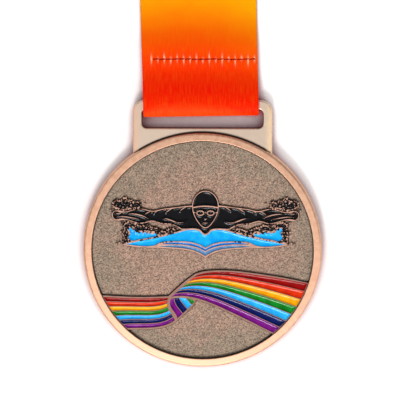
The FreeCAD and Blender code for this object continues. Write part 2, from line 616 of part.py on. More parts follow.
# ---------------------------------------------------------------- sub-parts
def medal_casting():
    """The one-piece casting: hanger tab with its slot, disc, rim, sunk field and raised artwork lines."""
    body = new_body("medal_casting")
    tab = driven_rectangle(body, "TabSketch", "tab_half_width", "tab_root", "tab_top", "tab_bottom")
    feature(body, "Pad", "Tab", tab, Length="tab_thickness")
    fillet(body, "TabCorners", "tab_corner", lambda e: upright(e) and near(e.BoundBox.YMax, S["tab_top"]))
    slot = driven_rectangle(body, "SlotSketch", "slot_half_width", "slot_bottom", "slot_top", "field_height")
    feature(body, "Pocket", "Slot", slot, Length="tab_thickness")
    fillet(body, "SlotCorners", "slot_corner",
           lambda e: upright(e) and near(abs(e.BoundBox.Center.x), S["slot_half_width"]))
    fillet(body, "TabEdges", "tab_round",
           lambda e: e.BoundBox.ZLength < 1e-4 and e.BoundBox.YMax > S["tab_root"] + 1)

    disc = driven_circle(body, "DiscSketch", "disc_radius")
    feature(body, "Pad", "Disc", disc, Length="disc_thickness")
    fillet(body, "RimRound", "rim_round", circle_at(S["disc_radius"], S["disc_thickness"]))
    fillet(body, "BackRound", "back_round", circle_at(S["disc_radius"], 0.0))
    field = driven_circle(body, "FieldSketch", "rim_inner_radius", "disc_thickness")
    feature(body, "Pocket", "Field", field, Length="rim_height")
    fillet(body, "LipRound", "lip_round", circle_at(S["rim_inner_radius"], S["disc_thickness"]))

    beds = {
        "BandBed": [closed(BAND_BED)],
        "BodyBed": [body_bed()],
        "HeadBed": [[loop(head_run(0, 342, 19, -LINE / 2))]],
        "WaterBed": [pool(WATER_BED_TOP, WATER_BED_LOW)],
    }
    for side, word in ((-1, "Left"), (1, "Right")):
        beds[f"SprayBed{word}"] = [[loop(swollen(placed(SPRAY_BED, side), LINE))]]
        beds[f"HandSprayBed{word}"] = [[loop(swollen(placed(HAND_SPRAY, side), LINE))]]
        beds[f"LooseDrops{word}"] = drops(LOOSE_DROPS, side)
        beds[f"SprayFoam{word}"] = foam(spline(shifted(placed(SPRAY_OUTSIDE, side), side * FOAM_OFFSET)))
        beds[f"HandFoam{word}"] = foam(loop(swollen(placed(HAND_SPRAY, side), FOAM_OFFSET)))
    for label, outlines in beds.items():
        pad(body, label, outlines, "relief_base", "relief_rise")

    groups = {"FigureCells": figure_cells(), "WaterCells": water_cells(), "BandCells": band_cells()}
    for label, cells in groups.items():
        outlines = [outline for cell, _ in cells.values() for outline in cell]
        pocket(body, label, outlines, "relief_top", "cell_depth")
    lines = {
        "MuscleLines": muscle_lines(),
        "GoggleRims": goggles(*GOGGLE_RIM) + goggles(*GOGGLE_LENS),
        "FaceLines": face_lines(),
    }
    for side, word in ((-1, "Left"), (1, "Right")):
        lines[f"SprayDrops{word}"] = drops(SPRAY_DROPS, side)
        lines[f"HandDrops{word}"] = drops(HAND_DROPS, side)
    for label, outlines in lines.items():
        pad(body, label, outlines, "line_base", "line_rise")


def enamel(label, outlines, partings):
    """One enamel filling: its cell's outline, less the raised lines that stand in the cell."""
    body = new_body(label)
    pad(body, f"{label}_fill", outlines, "cell_floor", "enamel_thickness")
    for index, lines in enumerate(partings):
        pocket(body, f"{label}_parting_{index}", lines, "relief_top", "cell_depth")


def neck_ribbon():
    """The ribbon: one strip of satin, through the slot and round the bar, with both straps folded away."""
    body = new_body("neck_ribbon")
    sketch = new_sketch(body, "RibbonProfile", [ribbon_profile()], plane="YZ_Plane")
    strip = feature(body, "Pad", "Strip", sketch, Length="ribbon_width")
    strip.Midplane = True


def thread(label, level):
    """One thread of the seam: the row of short stitches that shows on one face of the ribbon."""
    body = new_body(label)
    section = [Part.Circle(V(S["seam_row"], S[level], 0), V(0, 0, 1), S["thread_radius"])]
    sketch = new_sketch(body, f"{label}_section", [section], "first_stitch", "YZ_Plane")
    stitch = feature(body, "Pad", f"{label}_stitch", sketch, Length="stitch_length")
    row = body.newObject("PartDesign::LinearPattern", f"{label}_row")
    row.Originals = [stitch]
    row.Direction = (sketch, ["N_Axis"])
    row.setExpression("Length", "Dims.seam_width")
    row.setExpression("Occurrences", "Dims.stitch_count")
    body.Tip = row


medal_casting()
for cells in (figure_cells(), water_cells(), band_cells()):
    for name, (outlines, partings) in cells.items():
        enamel(name, outlines, partings)
enamel("enamel_goggle_lenses", goggles(*GOGGLE_LENS), [])
neck_ribbon()
thread("needle_thread", "needle_level")
thread("bobbin_thread", "bobbin_level")
doc.recompute()

# ---------------------------------------------------------------- check and write
faults = [f"{o.Name}: {o.State}" for o in doc.Objects if {"Invalid", "Error"} & set(o.State)]
for body in parts:
    if body.Shape.isNull() or not body.Shape.isValid() or not body.Shape.Solids:
        faults.append(f"{body.Label}: no valid shape")
if faults:
    raise SystemExit("not written: " + "; ".join(faults))

os.makedirs("parts", exist_ok=True)
for body in parts:
    body.Shape.exportStep(f"parts/{body.Label}.step")
    print(f"{body.Label}: {len(body.Shape.Solids)} solids, {body.Shape.Volume:.2f} mm3")
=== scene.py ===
"""The looks of the sports finisher medal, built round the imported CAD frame.

The casting keeps its CAD mesh and gets an antique copper material. Every enamel filling is rebuilt from its
own CAD outline as a poured surface that creeps up its cell's walls. The neck ribbon is one strip of satin,
woven, sewn and folded, and the seam's two threads are rows of single stitches. Lengths are in millimetres
up to the point where they become a mesh's. The lamps and the camera are placed in metres.
"""
import json
import math

import bmesh
import bpy
import numpy as np
from mathutils import Matrix, Vector, noise
from mathutils.geometry import delaunay_2d_cdt


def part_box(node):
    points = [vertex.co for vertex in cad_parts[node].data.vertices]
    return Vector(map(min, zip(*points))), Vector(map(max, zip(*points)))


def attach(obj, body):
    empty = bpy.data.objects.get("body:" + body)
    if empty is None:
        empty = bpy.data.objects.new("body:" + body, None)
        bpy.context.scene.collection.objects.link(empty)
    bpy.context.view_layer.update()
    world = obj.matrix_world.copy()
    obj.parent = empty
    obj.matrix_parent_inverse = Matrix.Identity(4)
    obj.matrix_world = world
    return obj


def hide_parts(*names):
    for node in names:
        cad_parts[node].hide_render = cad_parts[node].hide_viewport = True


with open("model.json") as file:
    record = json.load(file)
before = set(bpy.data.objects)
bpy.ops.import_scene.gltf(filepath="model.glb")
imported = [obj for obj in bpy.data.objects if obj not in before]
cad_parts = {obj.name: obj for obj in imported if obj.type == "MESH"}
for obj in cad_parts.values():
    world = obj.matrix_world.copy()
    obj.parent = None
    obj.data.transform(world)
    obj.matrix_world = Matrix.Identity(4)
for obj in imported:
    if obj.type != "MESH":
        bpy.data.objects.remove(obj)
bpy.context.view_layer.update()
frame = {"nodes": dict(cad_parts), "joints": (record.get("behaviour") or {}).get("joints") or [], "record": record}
scene = bpy.context.scene
scene.view_settings.view_transform = "Standard"

MM = 0.001
TINY = 1e-6
nodes = frame["nodes"]
casting = nodes["medal_casting"]
slots = {row["node"]: row["material_slot"] for row in frame["record"]["subparts"]}


def box_mm(node):
    """A node's lowest and highest corner, in millimetres."""
    return [np.array(corner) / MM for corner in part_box(node)]


cast_low, cast_high = box_mm("medal_casting")
cap_low, cap_high = box_mm("enamel_swim_cap")
fill_low, fill_high = box_mm("enamel_water")
ribbon_low, ribbon_high = box_mm("neck_ribbon")
needle_low, needle_high = box_mm("needle_thread")

DISC_RADIUS = -cast_low[1]
RIM_WIDTH = 2.3
RIM_ROLL = 0.08  # how far the rim's face leans outwards
FIELD_RADIUS = DISC_RADIUS - RIM_WIDTH
FIELD_HEIGHT = 3.0
RELIEF_TOP = 3.6
ART_MIDDLE = (cap_low[0] + cap_high[0]) / 2
BAND_TOP = -4.6  # the striped band lies below this, and the swimmer above it
TAB_ROOT = 20.0
TAB_TOP = cast_high[1]
TAB_HALF_WIDTH = 18.8
BAR_HEIGHT = 2.4
SLOT_TOP = TAB_TOP - BAR_HEIGHT
SLOT_HALF_WIDTH = 16.35


# ---------------------------------------------------------------- shader helpers
def srgb(red, green, blue):
    """A linear colour from its 0 to 255 values."""
    values = [c / 255 for c in (red, green, blue)]
    return (*(c / 12.92 if c <= 0.04045 else ((c + 0.055) / 1.055) ** 2.4 for c in values), 1.0)


class Shader:
    """A material and short ways to add nodes to it. Lengths in its coordinates are millimetres."""

    def __init__(self, name, **settings):
        self.material = bpy.data.materials.new(name)
        self.material.use_nodes = True
        self.tree = self.material.node_tree
        self.bsdf = self.tree.nodes["Principled BSDF"]
        for socket, value in settings.items():
            self.bsdf.inputs[socket.replace("_", " ")].default_value = value
        place = self.node("TexCoord").outputs["Object"]
        self.place = self.node("VectorMath", {0: place, "Scale": 1 / MM}, operation="SCALE").outputs[0]

    def node(self, kind, sockets=None, **settings):
        made = self.tree.nodes.new(f"ShaderNode{kind}")
        for name, value in settings.items():
            setattr(made, name, value)
        for key, value in (sockets or {}).items():
            if isinstance(value, bpy.types.NodeSocket):
                self.tree.links.new(value, made.inputs[key])
            else:
                made.inputs[key].default_value = value
        return made

    def link(self, value, socket):
        self.tree.links.new(value, self.bsdf.inputs[socket])

    def math(self, operation, first, second=0.0):
        return self.node("Math", {0: first, 1: second}, operation=operation).outputs[0]

    def step(self, value, low, high, start=0.0, end=1.0):
        """Goes smoothly from start to end while the value goes from low to high."""
        sockets = {"Value": value, "From Min": low, "From Max": high, "To Min": start, "To Max": end}
        return self.node("MapRange", sockets, interpolation_type="SMOOTHSTEP").outputs[0]

    def fall(self, value, low, high):
        """Goes smoothly from one to zero while the value goes from low to high."""
        return self.step(value, low, high, 1.0, 0.0)

    def times(self, first, *others):
        """The product of all the values."""
        for other in others:
            first = self.math("MULTIPLY", first, other)
        return first

    def greatest(self, first, *others):
        for other in others:
            first = self.math("MAXIMUM", first, other)
        return first

    def mix(self, share, first, second):
        return self.node("Mix", {0: share, 6: first, 7: second}, data_type="RGBA").outputs[2]

    def openness(self, reach, alone=False):
        """One where a surface lies open, and less near other faces, or near its own only, if alone."""
        made = self.node("AmbientOcclusion", {"Distance": reach * MM}, samples=12, only_local=alone)
        return made.outputs["AO"]

    def noise(self, scale, detail=2.0, place=None):
        sockets = {"Vector": place or self.place, "Scale": scale, "Detail": detail, "Roughness": 0.5}
        return self.node("TexNoise", sockets).outputs[0]

    def cells(self, scale):
        """A random grey from 0 to 1 for each small cell, and the distance to its middle."""
        made = self.node("TexVoronoi", {"Vector": self.place, "Scale": scale})
        return self.node("SeparateColor", {0: made.outputs["Color"]}).outputs[0], made.outputs["Distance"]

    def scaled(self, place, x, y, z):
        """Coordinates scaled along each axis."""
        return self.node("VectorMath", {0: place, 1: (x, y, z)}, operation="MULTIPLY").outputs[0]

    def bump(self, height, distance, strength, normal=None):
        """A normal bent by a height. The distance is how high one is, in millimetres."""
        sockets = {"Height": height, "Distance": distance * MM, "Strength": strength}
        if normal:
            sockets["Normal"] = normal
        return self.node("Bump", sockets).outputs[0]

    def ramp(self, value, stops):
        """A colour ramp over (position, colour) stops."""
        made = self.node("ValToRGB", {"Fac": value})
        elements = made.color_ramp.elements
        while len(elements) < len(stops):
            elements.new(0.5)
        for element, (position, colour) in zip(elements, stops):
            element.position, element.color = position, colour
        return made.outputs["Color"]


# ---------------------------------------------------------------- materials
def foam_zone(m, x, y):
    """Where the artwork is foam and not plain lines: round the spray under the arms and over the hands."""
    aside = m.math("ABSOLUTE", m.math("SUBTRACT", x, ART_MIDDLE))
    zones = []
    for node in ("enamel_spray_right", "enamel_hand_spray_right"):
        low, high = box_mm(node)
        nearest = low[0] - ART_MIDDLE - 0.5
        farthest = high[0] - ART_MIDDLE + 0.5
        across = m.times(m.step(aside, nearest - 0.4, nearest), m.fall(aside, farthest, farthest + 0.4))
        upright = m.times(m.step(y, low[1] - 0.5, low[1] - 0.1), m.fall(y, high[1], high[1] + 0.6))
        zones.append(m.times(across, upright))
    return m.greatest(*zones)


def copper_patina_and_shade(m, x, y, radius, in_field):
    """How dark the copper is: patina and painted shade in corners, painted shade on sheltered walls, and a painted
    shadow in the crevice between disc and tab.
    """
    # Patina in the corners, deepened to stand in for the shadows cast into them: painted shade.
    corner = m.fall(m.openness(0.7, alone=True), 0.5, 0.88)
    hollow = m.fall(m.openness(3.0, alone=True), 0.55, 0.85)
    normal = m.node("NewGeometry").outputs["Normal"]
    upward = m.node("SeparateXYZ", {0: normal}).outputs[2]
    # Walls by the slot, in the field or in deep hollows go dark: painted shade.
    wall = m.fall(m.math("ABSOLUTE", upward), 0.35, 0.8)
    beside = m.fall(m.math("ABSOLUTE", x), SLOT_HALF_WIDTH + 0.65, SLOT_HALF_WIDTH + 1.25)
    above = m.step(y, TAB_ROOT + 5.0, TAB_ROOT + 5.6)
    by_slot = m.times(beside, above, m.fall(y, SLOT_TOP + 0.4, SLOT_TOP + 0.8))
    # A band along the disc's edge beside the tab: the rim's painted shadow on the tab.
    crevice_shadow = m.times(by_slot, m.step(radius, DISC_RADIUS - 0.25, DISC_RADIUS - 0.1),
                      m.fall(radius, DISC_RADIUS + 0.15, DISC_RADIUS + 0.4))
    return m.greatest(corner, m.times(wall, m.greatest(by_slot, in_field, hollow)), crevice_shadow)


def copper_normal(m, flat, radius, in_front):
    """The casting's normal with its edges softened, and its rim's face rolled a little outwards."""
    softened = m.node("Bevel", {"Radius": 0.12 * MM}, samples=6).outputs[0]
    outwards = m.node("VectorMath", {0: flat}, operation="NORMALIZE").outputs[0]
    roll = m.times(m.step(radius, FIELD_RADIUS, FIELD_RADIUS + 0.3, 0.0, RIM_ROLL), in_front)
    rolled = m.node("VectorMath", {0: outwards, "Scale": roll}, operation="SCALE").outputs[0]
    leaning = m.node("VectorMath", {0: softened, 1: rolled}, operation="ADD").outputs[0]
    return m.node("VectorMath", {0: leaning}, operation="NORMALIZE").outputs[0]


def field_colour(m, radius, shade):
    """Sandblasted copper: light and dark grains, pinkish in the middle and greenish towards the rim."""
    fine_shade, _ = m.cells(7.5)
    speckle = m.math("ADD", m.times(shade, 0.6), m.times(fine_shade, 0.4))
    pinkish = m.mix(speckle, srgb(76, 54, 46), srgb(232, 192, 168))
    greenish = m.mix(speckle, srgb(70, 60, 50), srgb(210, 184, 160))
    blotch = m.step(m.noise(0.22), 0.35, 0.65, -0.3, 0.3)
    return m.mix(m.math("ADD", m.step(radius, 16.0, FIELD_RADIUS), blotch), pinkish, greenish)


def relief_colour(m, x, y, mottle):
    """The raised lines: worn bright, darkened between the foam's bubbles by patina and a painted shadow, and
    duller round the striped band.
    """
    worn = m.mix(mottle, srgb(178, 136, 118), srgb(212, 168, 148))
    bubble, _ = m.cells(2.6)
    # Between the bubbles the raised copper goes near-black: patina and a painted shadow round each bubble.
    foam_patina_and_shadow = m.times(foam_zone(m, x, y), m.fall(bubble, 0.34, 0.5))
    swimmer = m.mix(foam_patina_and_shadow, worn, srgb(30, 14, 12))
    return m.mix(m.step(y, BAND_TOP - 0.8, BAND_TOP, 0.55, 0.0), swimmer, srgb(96, 62, 58))


def tab_colour(m, x):
    """The tab: pale, with warmer sides that are a painted highlight on its rounded edges, the right one brighter.
    """
    side_highlight_share = m.step(m.math("ABSOLUTE", x), TAB_HALF_WIDTH - 2.3, TAB_HALF_WIDTH - 0.3)
    # Painted highlight along the rounded sides, lighter on the right.
    side = m.mix(m.step(x, -10.0, 10.0), srgb(240, 198, 170), srgb(255, 224, 186))
    return m.mix(side_highlight_share, srgb(226, 204, 184), side)


def antique_copper():
    """Copper plate over a zinc casting: satin rim, bright raised lines, dark sandblasted field."""
    m = Shader("antique_copper")
    x, y, z = m.node("SeparateXYZ", {0: m.place}).outputs
    flat = m.node("CombineXYZ", {0: x, 1: y}).outputs[0]
    radius = m.node("VectorMath", {0: flat}, operation="LENGTH").outputs["Value"]

    raised = m.step(z, FIELD_HEIGHT + 0.2, RELIEF_TOP - 0.08)
    in_front = m.step(z, FIELD_HEIGHT - 0.5, FIELD_HEIGHT - 0.1)
    in_field = m.times(m.fall(radius, FIELD_RADIUS - 0.05, FIELD_RADIUS + 0.12), in_front)
    field = m.times(in_field, m.math("SUBTRACT", 1.0, raised))
    line = m.times(in_field, raised)
    tab = m.times(m.step(radius, DISC_RADIUS - 0.05, DISC_RADIUS + 0.05), m.step(y, TAB_ROOT, TAB_ROOT + 1.0))
    patina_and_shade = copper_patina_and_shade(m, x, y, radius, in_field)

    mottle = m.step(m.noise(0.7, 4.0), 0.3, 0.7)
    rim_colour = m.mix(mottle, srgb(224, 172, 142), srgb(234, 188, 158))
    disc_colour = m.mix(line, rim_colour, relief_colour(m, x, y, mottle))
    clean = m.mix(tab, disc_colour, tab_colour(m, x))
    # Patina and painted shade: the smooth copper and the field both go near-black where that mask is high.
    smooth = m.mix(m.times(patina_and_shade, 0.95), clean, srgb(34, 12, 9))
    shade, dot = m.cells(3.9)
    rough = m.mix(m.times(patina_and_shade, 0.97), field_colour(m, radius, shade), srgb(14, 10, 9))
    m.link(m.mix(field, smooth, rough), "Base Color")
    m.link(m.step(field, 0.0, 1.0, 0.75, 0.3), "Metallic")
    satin_finish = m.step(mottle, 0.0, 1.0, 0.5, 0.58)
    m.link(m.greatest(m.times(field, 0.78), satin_finish), "Roughness")

    normal = copper_normal(m, flat, radius, in_front)
    scratches = m.noise(1.0, 3.0, m.scaled(m.place, 0.4, 14.0, 6.0))
    brushed = m.bump(scratches, 0.003, 0.25, normal)
    blasted = m.bump(m.times(dot, shade), 0.12, 0.8, normal)
    m.link(m.node("Mix", {0: field, 4: brushed, 5: blasted}, data_type="VECTOR").outputs[1], "Normal")
    return m.material


def enamel(name, colour, deep):
    """Poured enamel: glossy, with slight pigment clouds and an uneven, orange-peel surface."""
    m = Shader(name, Roughness=0.18, Specular_IOR_Level=0.16)
    clouds = m.step(m.noise(0.55, 3.0), 0.25, 0.75)
    specks = m.step(m.noise(7.0, 1.0), 0.62, 0.78, 0.0, 0.3)
    tinted = m.mix(clouds, srgb(*deep), srgb(*colour))
    m.link(m.mix(specks, tinted, srgb(*colour)), "Base Color")
    m.link(m.bump(m.noise(0.9, 1.0), 0.02, 0.3), "Normal")
    return m.material


DYE_LENGTH = 45.0  # from the medal to where the ribbon is plain yellow


def satin(length):
    """Polyester satin, dyed from red at the medal through orange to golden yellow, with a painted sheen where it
    curves round the bar, its fine warp showing.
    """
    m = Shader("ribbon_satin", Roughness=0.5, Specular_IOR_Level=0.03)
    strip = m.node("UVMap", uv_map="strip").outputs[0]
    across, along, _ = m.node("SeparateXYZ", {0: strip}).outputs

    to_medal = m.math("MINIMUM", m.math("ABSOLUTE", along), m.math("SUBTRACT", length, along))
    bow = m.times(across, across, 0.0115)
    bowed = m.math("ADD", to_medal, bow)
    place = m.math("ADD", bowed, m.times(across, 0.095))
    cloud = m.step(m.noise(0.25, 2.0, strip), 0.2, 0.8, -0.5, 0.5)
    # The first two stops are lighter and more orange: a painted sheen where the strip curves round the bar.
    dyes_and_fold_sheen = [(0.0, srgb(255, 70, 18)), (0.06, srgb(255, 62, 12)), (0.11, srgb(255, 30, 0)),
            (0.17, srgb(255, 20, 0)), (0.25, srgb(255, 34, 0)), (0.34, srgb(255, 52, 0)),
            (0.44, srgb(254, 74, 0)), (0.52, srgb(254, 96, 0)), (0.62, srgb(253, 128, 0)),
            (0.74, srgb(252, 164, 0)), (0.92, srgb(252, 194, 0))]
    dyed_with_fold_sheen = m.ramp(m.math("DIVIDE", m.math("ADD", place, cloud), DYE_LENGTH), dyes_and_fold_sheen)

    warp = m.noise(1.0, 3.0, m.scaled(strip, 4.6, 0.3, 1.0))
    weft = m.noise(1.0, 1.0, m.scaled(strip, 0.8, 6.0, 1.0))
    weave = m.math("ADD", m.times(warp, 0.8), m.times(weft, 0.2))
    streaked = m.mix(m.step(weave, 0.4, 0.7, 0.0, 0.14), dyed_with_fold_sheen, srgb(255, 150, 20))
    # Flecks above and below each hole: lighter weft where the thread strains the cloth, and a painted highlight on
    # the puckered slopes there.
    to_hole = m.times(m.math("SUBTRACT", across, HOLES[0] - BAR_LEAN), 2 * math.pi / STITCH_PITCH)
    spindle = m.step(m.math("COSINE", to_hole), 0.35, 0.95)
    strain = m.node("Attribute", attribute_name="pulled").outputs["Fac"]
    fleck_strain_and_highlight = m.times(strain, spindle, m.step(warp, 0.3, 0.6, 0.6, 1.0))
    m.link(m.mix(fleck_strain_and_highlight, streaked, srgb(255, 218, 176)), "Base Color")
    m.link(m.bump(weave, 0.06, 0.6), "Normal")
    return m.material


def thread():
    """Twisted polyester sewing thread."""
    m = Shader("red_thread", Roughness=0.6, Specular_IOR_Level=0.1)
    sockets = {"Vector": m.place, "Scale": 1.9, "Distortion": 0.6}
    twist = m.node("TexWave", sockets, bands_direction="DIAGONAL")
    ply = m.step(twist.outputs["Fac"], 0.2, 0.8)
    m.link(m.mix(ply, srgb(150, 10, 2), srgb(205, 34, 8)), "Base Color")
    m.link(m.bump(ply, 0.03, 0.8), "Normal")
    return m.material


def light_box():
    """The studio's white floor: it glows a little in the open, and close to a piece its glow fades into painted
    shade with a painted reddish bounce.
    """
    m = Shader("light_box", Roughness=0.9, Specular_IOR_Level=0.1)
    tone = m.step(m.noise(0.02), 0.3, 0.7)
    white = m.mix(tone, (0.66, 0.66, 0.66, 1.0), (0.68, 0.68, 0.68, 1.0))
    # Painted shade with a painted red bounce where a piece is close over the floor.
    m.link(m.mix(m.step(m.openness(6), 0.4, 0.88), srgb(140, 34, 48), white), "Base Color")
    m.bsdf.inputs["Emission Color"].default_value = (1.0, 1.0, 1.0, 1.0)
    # The glow fades near a piece: painted shade.
    m.link(m.step(m.openness(12), 0.2, 0.85, 0.0, 0.5), "Emission Strength")
    return m.material


# Each slot's colour, and the deeper one of its pigment clouds.
ENAMEL_COLOURS = {
    "black_enamel": ((17, 17, 21), (9, 9, 12)),
    "water_enamel": ((26, 192, 254), (2, 164, 248)),
    "wave_enamel": ((12, 146, 232), (4, 112, 208)),
    "swell_enamel": ((110, 158, 200), (78, 122, 176)),
    "red_enamel": ((168, 0, 0), (128, 0, 0)),
    "orange_enamel": ((240, 58, 0), (212, 36, 0)),
    "yellow_enamel": ((255, 186, 0), (248, 158, 0)),
    "green_enamel": ((10, 154, 44), (2, 112, 20)),
    "sky_enamel": ((48, 194, 255), (22, 166, 244)),
    "navy_enamel": ((2, 26, 104), (0, 14, 76)),
    "purple_enamel": ((136, 24, 142), (104, 4, 114)),
}


# ---------------------------------------------------------------- poured enamel
GRID = 0.2  # spacing of a filling's inner points
ROW_SHARE = 0.87  # their rows' spacing as a share of that, since every second row is shifted by half a step
WALL_RINGS = (0.05, 0.11, 0.18)  # how far from the walls the rings of inner points lie
MENISCUS_REACH = 0.3
MENISCUS_TOP = RELIEF_TOP - 0.05
FILL_BASE = fill_low[2] + 0.01
FILL_LEVEL = fill_high[2] - 0.17  # a filling's middle, a little below its CAD solid's top
LEVEL_SPREAD = 0.015  # how much fuller or emptier one filling is than another
UNEVENNESS = 0.012


def top_outline(node):
    """The points round a node's top face and the short edges between them, in millimetres."""
    mesh = bmesh.new()
    mesh.from_mesh(nodes[node].data)
    bmesh.ops.remove_doubles(mesh, verts=mesh.verts, dist=1e-7)
    top = max(v.co.z for v in mesh.verts)
    caps = {f for f in mesh.faces if all(abs(v.co.z - top) < TINY for v in f.verts)}
    number, points, edges = {}, [], []
    for edge in mesh.edges:
        if sum(f in caps for f in edge.link_faces) != 1:
            continue
        for vert in edge.verts:
            if vert not in number:
                number[vert] = len(points)
                points.append(np.array(vert.co.xy) / MM)
        first, last = (number[v] for v in edge.verts)
        cuts = int(edge.calc_length() / (1.5 * GRID * MM))
        chain = [first, *range(len(points), len(points) + cuts), last]
        points += [points[first] + (points[last] - points[first]) * (n + 1) / (cuts + 1) for n in range(cuts)]
        edges += zip(chain, chain[1:])
    mesh.free()
    return np.array(points), np.array(edges)


def wall_distance(points, start, end):
    """How far each point is from the outline."""
    along = end - start
    share = ((points[:, None] - start) * along).sum(2) / (along ** 2).sum(1)
    foot = start + np.clip(share, 0, 1)[..., None] * along
    return np.sqrt(((points[:, None] - foot) ** 2).sum(2)).min(1)


def within(points, start, end):
    """Whether each point is inside the outline."""
    x, y = points[:, :1], points[:, 1:]
    rise = end[:, 1] - start[:, 1]
    rise = np.where(rise == 0, 1, rise)
    crosses = (start[:, 1] > y) != (end[:, 1] > y)
    at = start[:, 0] + (y - start[:, 1]) / rise * (end[:, 0] - start[:, 0])
    return (crosses & (x < at)).sum(1) % 2 == 1


def inner_points(start, end):
    """Points inside an outline: rings beside its walls, then a plain grid."""
    low, high = start.min(0), start.max(0)
    along = end - start
    across = along[:, ::-1] * (-1, 1) / np.linalg.norm(along, axis=1)[:, None]
    middles = (start + end) / 2
    chosen = []
    for distance in WALL_RINGS:
        ring = np.vstack([middles + side * distance * across for side in (-1, 1)])
        ring = ring[within(ring, start, end)]
        chosen.append(ring[wall_distance(ring, start, end) > 0.9 * distance])
    columns = np.arange(low[0], high[0], GRID)
    rows = np.arange(low[1], high[1], ROW_SHARE * GRID)
    grid = np.array([(x + GRID / 2 * (n % 2), y) for n, y in enumerate(rows) for x in columns])
    grid = grid[within(grid, start, end)]
    chosen.append(grid[wall_distance(grid, start, end) > WALL_RINGS[-1] + 0.4 * GRID])
    return np.vstack(chosen)


def poured(node, number):
    """A filling of one colour: nearly flat, drawn up the walls by its meniscus, and closed below."""
    points, edges = top_outline(node)
    start, end = points[edges[:, 0]], points[edges[:, 1]]
    flat = [Vector(p) for p in np.vstack([points, inner_points(start, end)])]
    made, _, faces, *_ = delaunay_2d_cdt(flat, edges.tolist(), [], 0, TINY)
    made = np.array([p[:] for p in made])
    middles = np.array([made[list(face)].mean(0) for face in faces])
    kept = within(middles, start, end)
    level = FILL_LEVEL + LEVEL_SPREAD * math.sin(2.4 * number)
    heights = level + (MENISCUS_TOP - level) * np.exp(-wall_distance(made, start, end) / MENISCUS_REACH)
    heights += [UNEVENNESS * noise.noise((0.4 * x, 0.4 * y, number)) for x, y in made]

    mesh = bmesh.new()
    tops = [mesh.verts.new((x * MM, y * MM, z * MM)) for (x, y), z in zip(made, heights)]
    lows = [mesh.verts.new((x * MM, y * MM, FILL_BASE * MM)) for x, y in made]
    for face in (face for face, keep in zip(faces, kept) if keep):
        mesh.faces.new([tops[v] for v in face])
        mesh.faces.new([lows[v] for v in reversed(face)])
    mesh.verts.index_update()
    border = [[v.index for v in e.verts] for e in mesh.edges if e.is_boundary]
    for first, last in (ends for ends in border if max(ends) < len(tops)):
        mesh.faces.new([tops[last], tops[first], lows[first], lows[last]])
    bmesh.ops.delete(mesh, geom=[v for v in mesh.verts if not v.link_faces], context="VERTS")
    bmesh.ops.recalc_face_normals(mesh, faces=mesh.faces)
    return as_object(mesh, node.replace("enamel", "poured"), sharp=70)


def shown(data, name):
    """A mesh as a smooth object in the scene."""
    data.shade_smooth()
    made = bpy.data.objects.new(name, data)
    scene.collection.objects.link(made)
    return made


def as_object(mesh, name, sharp=None):
    """A bmesh as an object in the scene, smooth but for edges sharper than that many degrees."""
    data = bpy.data.meshes.new(name)
    mesh.to_mesh(data)
    mesh.free()
    made = shown(data, name)
    if sharp:
        data.set_sharp_from_angle(angle=math.radians(sharp))
    return made


def finished(piece, material, body, *replaced):
    """Gives a piece its material and its body, and hides the CAD nodes that it stands for."""
    piece.data.materials.append(material)
    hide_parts(*replaced)
    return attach(piece, body)


# ---------------------------------------------------------------- the ribbon
# The strip is drawn as a line in Y and Z, then lofted. "Past" is along Y, from the seam towards the neck.
THICKNESS = 0.45
PITCH = 0.55  # from one strap to the strap on it
WIDTH = ribbon_high[0] - ribbon_low[0]
FLOOR = ribbon_low[2] + THICKNESS / 2
BAR = (TAB_TOP - BAR_HEIGHT / 2, frame["joints"][0]["pos_m"][2] / MM)
LOOP_RADIUS = 1.775
LOOP_DROP = 1.2  # how much further than that the slack loop hangs off the bar
LOOP_LIFT = 0.2  # how much higher it crosses the bar, to stay clear of it as it swings
LOOP_TILT = 0.017  # how much lower it hangs at the left, for each millimetre across
BAR_LEAN = -0.42  # how far aside the strip lies on the bar
STRAP_LEAN = -0.029  # how much further aside it lies for each millimetre off the bar
STRAP_REACH = 34  # how far off the bar that goes on
LEAD_LENGTH = 45  # of the strip, from either end, before it is folded away
TAIL_LENGTH = 8  # of the strip, sewn on behind the straps
SEAM_ROW = (needle_low[1] + needle_high[1]) / 2
FRONT_LEVEL = needle_low[2] - THICKNESS / 2
BACK_LEVEL = FRONT_LEVEL - PITCH
TAIL_LEVEL = BACK_LEVEL - PITCH
FLAT_FROM = 14.5  # how far past the seam the two straps lie flat
STACK_FAR = ribbon_high[1] - 1.4
STACK_NEAR = STACK_FAR - 77.0
STACK_RUNS = 5
FOLD_RADIUS = 0.6
SAG = ((0.0, 0), (0.03, 0.05), (0.1, 0.55), (0.22, 1), (0.4, 1), (0.6, 1), (0.78, 1), (0.9, 0.55),
       (0.97, 0.05), (1.0, 0))  # how much a run sags between its folds, by the share of its length
SPLINE_SHARE = 0.902  # a soft line's radius by that of its points, when they are 45 degrees apart on a circle


def soft_line(points, steps=24):
    """A cubic B-spline along the given points, from the first to the last."""
    held = np.array([points[0]] * 2 + points + [points[-1]] * 2, float)
    t = np.linspace(0, 1, steps, endpoint=False)[:, None]
    weights = (1 - t) ** 3, 3 * t ** 3 - 6 * t ** 2 + 4, -3 * t ** 3 + 3 * t ** 2 + 3 * t + 1, t ** 3
    runs = [sum(w * p for w, p in zip(weights, held[i:i + 4])) / 6 for i in range(len(held) - 3)]
    return np.vstack([*runs, held[-1:]])


def tangents(line):
    """The direction of a line at each of its points."""
    step = np.gradient(line, axis=0)
    return step / np.linalg.norm(step, axis=1)[:, None]


def beside(line, distance):
    """The line this far to the left of a line in Y and Z."""
    return line + distance * tangents(line)[:, ::-1] * (-1, 1)


def from_seam(*points):
    """Points by how far past the seam they are, and their height."""
    return [(SEAM_ROW + past, height) for past, height in points]


